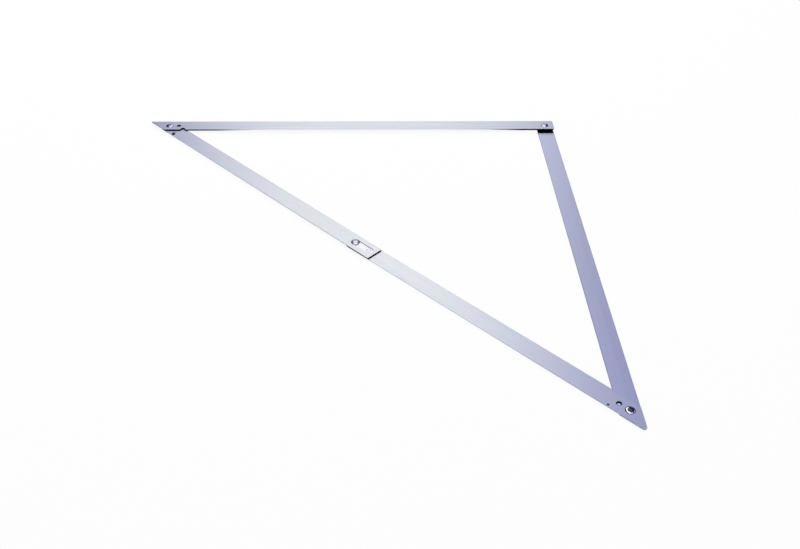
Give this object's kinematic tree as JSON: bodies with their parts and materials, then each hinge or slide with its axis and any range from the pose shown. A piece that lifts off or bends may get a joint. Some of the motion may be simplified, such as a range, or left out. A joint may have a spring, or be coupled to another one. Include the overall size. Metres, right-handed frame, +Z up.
{
  "type": "folding builders square",
  "caption": "Folding builders square: a U-channel leg, a flat leg and a hinged diagonal brace that folds inwards, so that the bars nest in the channel, with a spring latch at the middle joint.",
  "frame": {"origin": "the outer corner of the right angle, at the channel's underside", "axes": "the channel runs along -X with its open side towards -Y, the flat leg runs along -Y, and +Z points up from the surface that the square lies on"},
  "size_m": [1.2, 1.1914, 0.0131],
  "materials": {
    "anodised_aluminium": "satin anodised",
    "rivet_steel": "satin",
    "plated_cup": "bright nickel plated",
    "spacer_steel": "zinc plated",
    "spring_steel": "polished stainless",
    "dark_steel": "black oxide"
  },
  "bodies": {
    "channel": {"channel_leg": "anodised_aluminium", "brace_rivet": "rivet_steel", "brace_rivet_cup": "plated_cup", "brace_spacer": "spacer_steel", "corner_rivet": "rivet_steel", "corner_rivet_cup": "plated_cup", "corner_spacer": "spacer_steel", "corner_washer": "spacer_steel"},
    "flat_leg": {"flat_leg": "anodised_aluminium", "tip_rivet_base": "rivet_steel"},
    "upper_brace": {"upper_brace": "anodised_aluminium", "hinge_stud": "rivet_steel", "hinge_stud_cup": "plated_cup", "hinge_spacer": "spacer_steel", "brace_stop_pin": "dark_steel"},
    "lower_brace": {"lower_brace": "anodised_aluminium", "tip_rivet": "rivet_steel", "tip_rivet_cup": "plated_cup", "tip_stop_pin": "dark_steel"},
    "latch": {"latch_spring": "spring_steel", "latch_button": "spring_steel"}
  },
  "joints": [
    {"name": "corner_pivot", "type": "hinge", "parent": "channel", "child": "flat_leg", "pos_m": [-0.0265, -0.0258, 0.00255], "axis": [0, 0, 1], "range_deg": [-90, 0]},
    {"name": "brace_pivot", "type": "hinge", "parent": "channel", "child": "upper_brace", "pos_m": [-1.143, -0.0258, 0.00805], "axis": [0, 0, 1], "range_deg": [0, 45.33]},
    {"name": "middle_pivot", "type": "hinge", "parent": "upper_brace", "child": "lower_brace", "pos_m": [-0.58793, -0.58723, 0.00455], "axis": [0, 0, 1], "range_deg": [-180.65, 0]},
    {"name": "latch_lift", "type": "hinge", "parent": "upper_brace", "child": "latch", "pos_m": [-0.58793, -0.58723, 0.00675], "axis": [-0.7111, -0.7031, 0], "range_deg": [0, 1.4], "stiffness_Nm_per_rad": 0.3}
  ],
  "couplings": [
    {"joint": "brace_pivot", "follows": "corner_pivot", "ratio": -0.50363},
    {"joint": "middle_pivot", "follows": "corner_pivot", "ratio": 2.0073}
  ]
}
